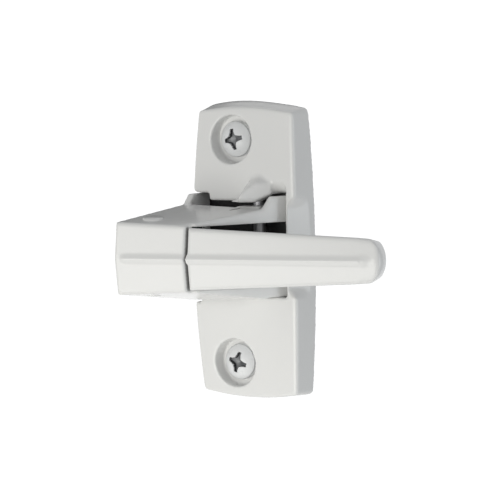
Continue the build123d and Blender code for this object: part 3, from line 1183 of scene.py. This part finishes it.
@dataclass
class LeverAssembly:
    """The push lever, whose free end is bowed and rounded."""

    bar: Bar = Bar()
    grid: float = 0.2
    rounds: int = 5
    end_half: float = 4.55
    end_reach: float = 4.5
    end_bow: float = 1.5
    end_rounds: int = 16
    seam_reach: float = 1.5
    seam_close: float = 0.34
    corner_from: float = 4.0
    corner_rounds: int = 30

    def bow_end(self, piece: Piece) -> None:
        """Draw the corners of the free end back so that it is bowed.

        Args:
            piece: The lever.
        """
        ahead = self.bar.ahead()
        for vert in piece.mesh.verts:
            share = ease(self.bar.along(vert.co), self.bar.length - self.end_reach, self.bar.length)
            vert.co -= ahead * (self.end_bow * share * (vert.co.z / self.end_half) ** 2)

    def round_end(self, piece: Piece) -> None:
        """Let the coat round the free end more than the rest.

        Args:
            piece: The lever.
        """
        start = self.bar.length - self.end_reach
        piece.flow(self.end_rounds, [vert for vert in piece.mesh.verts if self.bar.along(vert.co) > start])

    def shape_seam(self, piece: Piece) -> None:
        """Bring the end at the seam closer to the nose and round its corners.

        Args:
            piece: The lever.
        """
        ahead = self.bar.ahead()
        full = min(self.bar.along(vert.co) for vert in piece.mesh.verts) + self.seam_reach
        none = full + self.seam_reach
        seam = [vert for vert in piece.mesh.verts if self.bar.along(vert.co) < none]
        piece.flow(self.corner_rounds, [vert for vert in seam if abs(vert.co.z) > self.corner_from])
        for vert in seam:
            vert.co -= ahead * (self.seam_close * (1.0 - ease(self.bar.along(vert.co), full, none)))

    def build(self, nodes: dict[str, bpy.types.Object]) -> None:
        """Build the coated lever.

        Args:
            nodes: The CAD nodes' objects by name.
        """
        piece = Piece("coated_lever", gridded_copy(nodes["lever_handle"], self.grid))
        self.bow_end(piece)
        piece.flow(self.rounds)
        self.round_end(piece)
        self.shape_seam(piece)
        piece.finish([WHITE_COAT], Body.LEVER, Slot.PAINT, "lever_handle")


@dataclass(frozen=True)
class Softbox:
    """A square area lamp that points at the latch."""

    name: str
    azimuth: float
    elevation: float
    distance: float
    size: float
    power: float
    colour: Colour

    def place(self) -> None:
        """Add the lamp to the scene."""
        lamp = bpy.data.lights.new(self.name, "AREA")
        lamp.shape = "SQUARE"
        lamp.size = self.size
        lamp.energy = self.power
        lamp.color = self.colour
        made = bpy.data.objects.new(self.name, lamp)
        bpy.context.scene.collection.objects.link(made)
        away = outward(self.azimuth, self.elevation)
        made.location = away * self.distance
        made.rotation_mode = "QUATERNION"
        made.rotation_quaternion = away.to_track_quat("Z", "Y")


WARM = (1.0, 0.99, 0.945)
COOL = (0.9, 0.96, 1.0)
LAMPS = (
    Softbox("key_box", azimuth=-6.0, elevation=-9.0, distance=0.7, size=0.45, power=2.1, colour=WARM),
    Softbox("low_box", azimuth=0.0, elevation=-56.0, distance=0.11, size=0.07, power=0.017, colour=WARM),
    Softbox("side_box", azimuth=100.0, elevation=-4.0, distance=0.8, size=0.4, power=0.95, colour=COOL),
)


@dataclass(frozen=True)
class PhotoCamera:
    """The camera at the photograph's place, fitted to the case's outline."""

    azimuth: float = 35.089
    elevation: float = 5.0
    roll: float = -1.097
    distance: float = 0.75
    shift_right: float = -0.036 * MM
    shift_up: float = -0.2274 * MM
    focal_share: float = 7.506
    sensor: float = 36.0
    clip: Span = (0.01, 100.0)

    def place(self) -> None:
        """Add the camera and make it the scene's."""
        lean = math.radians(self.roll)
        back = outward(self.azimuth, self.elevation)
        side = level(self.azimuth)
        upright = back.cross(side)
        right = side * math.cos(lean) + upright * math.sin(lean)
        up = upright * math.cos(lean) - side * math.sin(lean)
        lens = bpy.data.cameras.new("photo_camera")
        lens.sensor_fit = "HORIZONTAL"
        lens.sensor_width = self.sensor
        lens.lens = self.focal_share * self.sensor
        lens.clip_start, lens.clip_end = self.clip
        made = bpy.data.objects.new("photo_camera", lens)
        bpy.context.scene.collection.objects.link(made)
        place = back * self.distance + right * self.shift_right + up * self.shift_up
        made.matrix_world = Matrix.Translation(place) @ Matrix((right, up, back)).transposed().to_4x4()
        bpy.context.scene.camera = made


@dataclass
class Studio:
    """A pale floor, a white surround, a dark flag and soft lamps."""

    floor_drop: float = 0.4
    floor_reach: float = 60.0
    floor_segments: int = 8
    floor_colour: Colour = (0.8, 0.8, 0.8)
    floor_glow: float = 0.8
    ambient: Colour = (0.37, 0.375, 0.38)
    flag_place: Place = (-0.065, 0.075, 0.03)
    flag_size: float = 0.08
    flag_colour: Colour = (0.15, 0.15, 0.15)

    def seen(self, tree: ShaderTree) -> bpy.types.NodeSocket:
        """Return a socket that is one for camera, glossy and transmission rays.

        Args:
            tree: The tree of a material or of the world.

        Returns:
            The socket.
        """
        path = tree.add("ShaderNodeLightPath")
        rays = tree.math("ADD", path.outputs["Is Camera Ray"], path.outputs["Is Glossy Ray"])
        rays = tree.math("ADD", rays, path.outputs["Is Transmission Ray"])
        return tree.math("MINIMUM", rays, 1.0)

    def make_world(self) -> None:
        """Make the surround white to the eye and softer as a light."""
        world = bpy.data.worlds.new("white_surround")
        bpy.context.scene.world = world
        world.use_nodes = True
        tree = ShaderTree(world.node_tree)
        mix = tree.add("ShaderNodeMix", data_type="RGBA")
        mix.inputs["A"].default_value = (*self.ambient, 1.0)
        mix.inputs["B"].default_value = (1.0, 1.0, 1.0, 1.0)
        tree.link(self.seen(tree), mix.inputs["Factor"])
        background = tree.add("ShaderNodeBackground")
        tree.link(mix.outputs["Result"], background.inputs["Color"])
        tree.link(background.outputs["Background"], tree.add("ShaderNodeOutputWorld").inputs["Surface"])

    def floor_material(self) -> bpy.types.Material:
        """Make the floor's material, which glows to the eye so that it goes white with the surround.

        Returns:
            The material.
        """
        made = bpy.data.materials.new("pale_floor")
        made.use_nodes = True
        tree = ShaderTree(made.node_tree)
        matt = tree.add("ShaderNodeBsdfDiffuse")
        matt.inputs["Color"].default_value = (*self.floor_colour, 1.0)
        glow = tree.add("ShaderNodeEmission")
        tree.link(tree.math("MULTIPLY", self.seen(tree), self.floor_glow), glow.inputs["Strength"])
        both = tree.add("ShaderNodeAddShader")
        tree.link(matt.outputs[0], both.inputs[0])
        tree.link(glow.outputs[0], both.inputs[1])
        tree.link(both.outputs[0], tree.add("ShaderNodeOutputMaterial").inputs["Surface"])
        return made

    def make_floor(self) -> None:
        """Lay the floor under the latch and out of its lamps' way."""
        mesh = bmesh.new()
        steps = self.floor_segments
        bmesh.ops.create_grid(mesh, x_segments=steps, y_segments=steps, size=self.floor_reach)
        bmesh.ops.translate(mesh, vec=(0.0, 0.0, -self.floor_drop), verts=mesh.verts[:])
        show("floor", mesh, [self.floor_material()])

    def flag_material(self) -> bpy.types.Material:
        """Make the flag's material, which the camera looks through.

        Returns:
            The material.
        """
        made = bpy.data.materials.new("flag_cloth")
        made.use_nodes = True
        tree = ShaderTree(made.node_tree)
        cloth = tree.add("ShaderNodeBsdfDiffuse")
        cloth.inputs["Color"].default_value = (*self.flag_colour, 1.0)
        clear = tree.add("ShaderNodeBsdfTransparent")
        mix = tree.add("ShaderNodeMixShader")
        tree.link(tree.add("ShaderNodeLightPath").outputs["Is Camera Ray"], mix.inputs["Fac"])
        tree.link(cloth.outputs[0], mix.inputs[1])
        tree.link(clear.outputs[0], mix.inputs[2])
        tree.link(mix.outputs[0], tree.add("ShaderNodeOutputMaterial").inputs["Surface"])
        return made

    def make_flag(self) -> None:
        """Hang a dark flag behind and above the latch, which the camera looks through."""
        away = Vector(self.flag_place)
        turn = away.to_track_quat("Z", "Y").to_matrix().to_4x4()
        mesh = bmesh.new()
        bmesh.ops.create_grid(mesh, x_segments=1, y_segments=1, size=self.flag_size / 2)
        bmesh.ops.transform(mesh, matrix=Matrix.Translation(away) @ turn, verts=mesh.verts[:])
        show("dark_flag", mesh, [self.flag_material()])

    def build(self) -> None:
        """Build the studio and set the camera."""
        bpy.context.scene.view_settings.view_transform = "Standard"
        self.make_world()
        self.make_floor()
        self.make_flag()
        for lamp in LAMPS:
            lamp.place()
        PhotoCamera().place()


def main() -> None:
    """Load the frame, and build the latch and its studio."""
    logging.basicConfig(level=logging.INFO, format="%(name)s: %(message)s")
    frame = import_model()
    nodes = frame["nodes"]
    CaseAssembly().build(nodes)
    ArmAssembly().build(nodes)
    LeverAssembly().build(nodes)
    Studio().build()
    bpy.context.view_layer.update()


if __name__ == "__main__":
    main()
